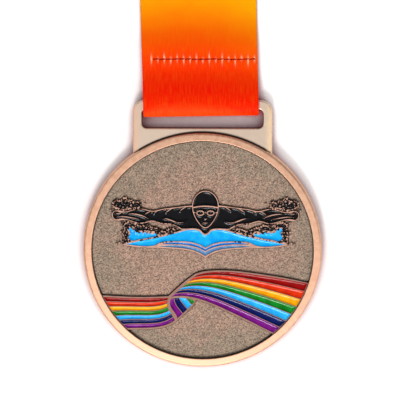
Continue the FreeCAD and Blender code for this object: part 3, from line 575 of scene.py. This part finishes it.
def front_lead():
    """From the tail under the seam, round the bar, and down the front strap to where the straps lie flat."""
    tail = from_seam(
        (3.3, TAIL_LEVEL), (1.5, TAIL_LEVEL), (-1.5, TAIL_LEVEL), (-4.0, TAIL_LEVEL - 0.03),
        (-6.5, FLOOR + 0.06), (-9.0, FLOOR), (-11.5, FLOOR - 0.02))
    swell = LOOP_RADIUS / SPLINE_SHARE
    turn = []
    for degrees, drop, lift in ((247, 0.6, 0.0), (202, 1.0, 0.0), (157, 1.0, 0.0), (112, 0.6, LOOP_LIFT)):
        angle = math.radians(degrees)
        y = BAR[0] + swell * math.cos(angle) - LOOP_DROP * drop
        turn.append((y, BAR[1] + swell * math.sin(angle) + lift))
    off_bar = [(BAR[0] + 1.9, BAR[1] + 1.52 + LOOP_LIFT), (BAR[0] + 5.0, BAR[1] + 0.78),
               (BAR[0] + 8.5, FRONT_LEVEL + 0.07)]
    strap = from_seam(
        (-2.0, FRONT_LEVEL), (0.0, FRONT_LEVEL), (2.2, FRONT_LEVEL), (4.2, FRONT_LEVEL - 0.06),
        (7.0, FLOOR + PITCH + 0.3), (9.5, FLOOR + PITCH + 0.02), (12.0, FLOOR + PITCH),
        (FLAT_FROM, FLOOR + PITCH))
    return soft_line([*tail, *turn, *off_bar, *strap])


def back_lead():
    """The back strap's end, from where the straps lie flat up into the seam."""
    return soft_line(from_seam(
        (FLAT_FROM, FLOOR), (12.0, FLOOR), (9.5, FLOOR + 0.02), (7.0, FLOOR + 0.3), (4.2, BACK_LEVEL - 0.06),
        (2.2, BACK_LEVEL), (0.0, BACK_LEVEL), (-3.3, BACK_LEVEL)))


def stack_line():
    """The line between the two straps, folded to and fro as a pair, sagging where nothing holds it up."""
    middle = FLOOR + PITCH / 2
    rise = 2 * FOLD_RADIUS + PITCH
    bulge = 1.2 * (FOLD_RADIUS + PITCH / 2)
    length = STACK_FAR - STACK_NEAR
    points = from_seam((FLAT_FROM, middle), (18.0, middle), (22.0, middle))
    for level in range(STACK_RUNS):
        height = middle + level * rise
        sagged = middle + level * (2 * PITCH + 0.12)
        run = [(STACK_NEAR + length * share, height + (sagged - height) * sag) for share, sag in SAG]
        if level % 2:
            run.reverse()
        points += run[3:] if level == 0 else run
        if level < STACK_RUNS - 1:
            fold = STACK_NEAR - bulge if level % 2 else STACK_FAR + bulge
            points += [(fold, height + 0.06), (fold, height + rise - 0.06)]
    return soft_line(points, 16)


def strip_line():
    """The ribbon's whole middle line, in Y and Z."""
    pair = stack_line()
    front, back = beside(pair, PITCH / 2), beside(pair, -PITCH / 2)
    angles = np.linspace(math.pi / 2, -math.pi / 2, 14)[1:-1]
    crease = pair[-1] + PITCH / 2 * np.stack([np.cos(angles), np.sin(angles)], 1)
    return np.vstack([front_lead()[:-1], front, crease, back[::-1], back_lead()[1:]])


def stations(line):
    """The line's points set closer where it bends or is sewn, with how far along it each is."""
    gaps = np.linalg.norm(np.diff(line, axis=0), axis=1)
    line, gaps = line[np.append(True, gaps > TINY)], gaps[gaps > TINY]
    arc = np.append(0, np.cumsum(gaps))
    heading = np.unwrap(np.arctan2(*np.gradient(line, axis=0).T[::-1]))
    bend = np.abs(np.gradient(heading, arc))
    longest, near_medal, near_seam, shortest = 3.2, 0.7, 0.22, 0.14
    gap = np.clip(0.3 / (bend + TINY), shortest, longest)
    gap = np.minimum(gap, np.where(line[:, 0] < SEAM_ROW + 20, near_medal, longest))
    gap = np.minimum(gap, np.where(abs(line[:, 0] - SEAM_ROW) < 1.6, near_seam, longest))
    count = np.append(0, np.cumsum(np.diff(arc) / np.minimum(gap[1:], gap[:-1])))
    at = np.interp(np.linspace(0, count[-1], int(count[-1]) + 1), count, arc)
    rows = np.stack([np.interp(at, arc, line[:, axis]) for axis in (0, 1)], 1)
    return rows, at


STITCHES = 16
STITCH_LENGTH = 1.25
STITCH_PITCH = (needle_high[0] - needle_low[0] - STITCH_LENGTH) / (STITCHES - 1)
FIRST_HOLE = needle_low[0] + (STITCH_LENGTH - STITCH_PITCH) / 2
HOLES = [FIRST_HOLE + STITCH_PITCH * n for n in range(STITCHES + 1)]


def pulled(across, off_row):
    """How strained the cloth is: most above and below the thread's holes, each by its own amount."""
    strain = 0.0
    for number, hole in enumerate(HOLES):
        size = 0.8 + 0.2 * math.sin(4.3 * number)
        reach = 0.85 + 0.3 * math.sin(2.9 * number + 1)
        middle = 0.3 * math.sin(3.7 * number)
        strain += size * np.exp(-((across - hole) / 0.6) ** 4 - (abs(off_row - middle) / reach) ** 2)
    return strain


def pucker(across, off_row):
    """How far the thread pulls the cloth in, at its holes and along its row, with ripples beside the row."""
    holes = sum(np.exp(-((across - hole) / 0.33) ** 2 - (off_row / 0.7) ** 2) for hole in HOLES)
    middle, half_row = (HOLES[0] + HOLES[-1]) / 2, (HOLES[-1] - HOLES[0]) / 2
    sewn = 1 / (1 + np.exp(4 * (abs(across - middle) - half_row)))
    row = np.exp(-(off_row / 0.5) ** 2)
    ripple = np.cos(2 * np.pi * (across - HOLES[0]) / STITCH_PITCH) * np.exp(-abs(off_row) / 1.3)
    return 0.11 * holes + sewn * (0.07 * row + 0.035 * ripple)


def ribbon_columns():
    """Places across the ribbon and its half thickness there, with rounded selvages."""
    half = WIDTH / 2
    inner = np.linspace(-(half - 0.7), half - 0.7, 74)
    edge = half - np.array([0.45, 0.22, 0.08, 0.0])
    columns = np.concatenate([-edge[::-1], inner, edge])
    inset = np.clip((half - abs(columns)) / 0.3, 0, 1)
    return columns, THICKNESS / 2 * np.sqrt(1 - (1 - inset) ** 2)


def sway(along, length, y):
    """How far aside the strip lies: leaning a little off the bar, and less even where it is folded away."""
    away = min(max(min(along, length - along) - LEAD_LENGTH, 0), 60) / 60
    lean = BAR_LEAN + STRAP_LEAN * min(max(y - BAR[0], 0), STRAP_REACH)
    return lean + away * (0.45 * math.sin(along / 61) + 0.3 * math.sin(along / 23 + 1))


def strip_rings(rows, along):
    """A ring of points round the strip at every station, their places on the flat strip, and their strain."""
    normal = tangents(rows)[:, ::-1] * (-1, 1)
    columns, half = ribbon_columns()
    across = np.concatenate([columns, columns[-2:0:-1]])
    side = np.concatenate([half, -half[-2:0:-1]])
    in_front = (rows[:, 1] > FRONT_LEVEL - 0.4) & (along < LEAD_LENGTH)
    in_tail = along < TAIL_LENGTH
    off_row = rows[:, 0] - SEAM_ROW
    lowest = along[np.argmin(rows[:, 0])]
    rings, flat, strain = [], [], []
    for row, (y, z) in enumerate(rows):
        x = across + sway(along[row], along[-1], y)
        sewn_face = (side > 0.1) * in_front[row] + (side < -0.1) * in_tail[row]
        reach = side - np.sign(side) * pucker(x, off_row[row]) * sewn_face
        tilt = LOOP_TILT * across * math.exp(-(max(y - BAR[0], 0) / 5) ** 2)
        rings.append(np.stack([x, y + tilt + reach * normal[row, 0], z + reach * normal[row, 1]], 1))
        flat.append(np.stack([across, np.full(len(across), along[row] - lowest)], 1))
        strain.append(pulled(x, off_row[row]) * sewn_face)
    return rings, np.vstack(flat), np.concatenate(strain)


def strip_faces(rings, ring):
    """The quads from each ring to the next, and those that close the two ends."""
    here = np.arange(ring)
    after = (here + 1) % ring
    band = np.stack([here + ring, after + ring, after, here], 1)
    faces = np.vstack([band + r * ring for r in range(rings - 1)]).tolist()
    for base, way in ((0, -1), ((rings - 1) * ring, 1)):
        for n in range(ring // 2):
            corners = dict.fromkeys([n, n + 1, (ring - n - 1) % ring, (ring - n) % ring])
            faces.append([base + corner for corner in corners][::way])
    return faces


def ribbon():
    """The strip as one closed mesh that carries its flat coordinates and its strain, and its length."""
    rows, along = stations(strip_line())
    rings, flat, strain = strip_rings(rows, along)
    verts = np.vstack(rings) * MM
    data = bpy.data.meshes.new("satin_ribbon")
    data.from_pydata(verts.tolist(), [], strip_faces(len(rings), len(rings[0])))
    layer = data.uv_layers.new(name="strip")
    corner_verts = np.empty(len(data.loops), int)
    data.loops.foreach_get("vertex_index", corner_verts)
    layer.data.foreach_set("uv", flat[corner_verts].ravel())
    data.attributes.new("pulled", "FLOAT", "POINT").data.foreach_set("value", strain)
    return shown(data, "satin_ribbon"), along[-1]


# ---------------------------------------------------------------- the seam's threads
STITCH_RADIUS = 0.15
STITCH_LIFT = 0.07  # how far a stitch's middle stands off the cloth
STITCH_DIP = 0.42  # how far below that its ends are
STITCH_SIDES, STITCH_STEPS = 10, 14


def stitch(mesh, start, end, row, surface, out, slant):
    """One stitch: a bent tube from hole to hole, its ends going down into the cloth."""
    rings = []
    for step in range(STITCH_STEPS + 1):
        share = step / STITCH_STEPS
        off_middle = 2 * abs(share - 0.5)
        lift = STITCH_LIFT - STITCH_DIP * off_middle ** 5
        centre = Vector((start + (end - start) * share, row + slant * (share - 0.5), surface + out * lift))
        slope = -out * STITCH_DIP * 5 * 2 * off_middle ** 4 * math.copysign(1, share - 0.5)
        along = Vector((end - start, slant, slope)).normalized()
        up = Vector((0, 1, 0)).cross(along).normalized()
        aside = along.cross(up)
        thick = STITCH_RADIUS * (1 - 0.3 * off_middle ** 6)
        angles = [2 * math.pi * n / STITCH_SIDES for n in range(STITCH_SIDES)]
        spokes = [up * 0.85 * math.cos(angle) + aside * math.sin(angle) for angle in angles]
        rings.append([mesh.verts.new((centre + spoke * thick) * MM) for spoke in spokes])
    for ring, following in zip(rings, rings[1:]):
        for n in range(STITCH_SIDES):
            after = (n + 1) % STITCH_SIDES
            mesh.faces.new([ring[n], ring[after], following[after], following[n]])
    mesh.faces.new(rings[0][::-1])
    mesh.faces.new(rings[-1])


def stitches(name, surface, out):
    """A row of stitches, each a little uneven."""
    mesh = bmesh.new()
    for number, (start, end) in enumerate(zip(HOLES, HOLES[1:])):
        slack = 0.05 * math.sin(5.1 * number)
        slant = 0.12 + 0.06 * math.sin(2.7 * number)
        stitch(mesh, start + 0.06, end - 0.06, SEAM_ROW + slack, surface, out, slant * out)
    bmesh.ops.recalc_face_normals(mesh, faces=mesh.faces)
    return as_object(mesh, name, sharp=60)


# ---------------------------------------------------------------- the studio
def lamp(name, towards, distance, size, power):
    """A square soft light, that way and that far from the medal, turned to face it."""
    light = bpy.data.lights.new(name, "AREA")
    light.shape, light.size, light.energy = "SQUARE", size, power
    made = bpy.data.objects.new(name, light)
    away = Vector(towards).normalized()
    medal = Vector((0, 0.01, 0.003))
    made.location = medal + away * distance
    made.rotation_euler = away.to_track_quat("Z", "Y").to_euler()
    scene.collection.objects.link(made)


def studio():
    """White floor, key light from the medal's foot, fill from the right, a glint and a pale surround."""
    mesh = bmesh.new()
    bmesh.ops.create_grid(mesh, x_segments=8, y_segments=8, size=2.0)
    floor = as_object(mesh, "floor")
    floor.location.z = -0.00005  # a hair below the pieces that lie on it
    floor.data.materials.append(light_box())
    lamp("key", (-0.14, -0.72, 0.85), distance=0.9, size=0.2, power=5.8)
    lamp("fill", (0.75, -0.4, 0.75), distance=0.9, size=0.4, power=2.0)
    lamp("glint", (-0.45, 0.4, 0.85), distance=0.8, size=0.1, power=0.7)
    lamp("soft_box", (0.0, -0.2, 1.0), distance=0.75, size=0.5, power=0.3)
    world = bpy.data.worlds.new("surround")
    world.use_nodes = True
    background = world.node_tree.nodes["Background"]
    background.inputs["Color"].default_value = (1.0, 1.0, 1.0, 1.0)
    background.inputs["Strength"].default_value = 0.22
    scene.world = world


def camera():
    """A long lens over the medal, leaning a little towards its ribbon."""
    aim = Vector((-0.00068, 0.01395, 0.003))
    distance = 0.55
    lean = math.radians(10)
    back = Vector((0.02, math.sin(lean), math.cos(lean))).normalized()
    right = Vector((0, 1, 0)).cross(back).normalized()
    up = back.cross(right)
    turned = Matrix((right, up, back)).transposed().to_4x4()
    data = bpy.data.cameras.new("camera")
    data.sensor_width = 36.0
    data.lens = 182.5
    made = bpy.data.objects.new("camera", data)
    made.matrix_world = Matrix.Translation(aim + back * distance) @ turned
    scene.collection.objects.link(made)
    scene.camera = made


# ---------------------------------------------------------------- the whole
camera()
studio()

casting.data.materials.clear()
casting.data.materials.append(antique_copper())

enamels = {slot: enamel(slot, *colours) for slot, colours in ENAMEL_COLOURS.items()}
for number, node in enumerate(sorted(n for n in nodes if n.startswith("enamel_"))):
    finished(poured(node, number), enamels[slots[node]], "medal", node)

sewing = thread()
needle = finished(stitches("needle_stitches", FRONT_LEVEL + THICKNESS / 2 - 0.02, 1), sewing, "ribbon",
                  "needle_thread")
bobbin = finished(stitches("bobbin_stitches", TAIL_LEVEL - THICKNESS / 2 + 0.02, -1), sewing, "ribbon",
                  "bobbin_thread")
strip, strip_length = ribbon()
finished(strip, satin(strip_length), "ribbon", "neck_ribbon")
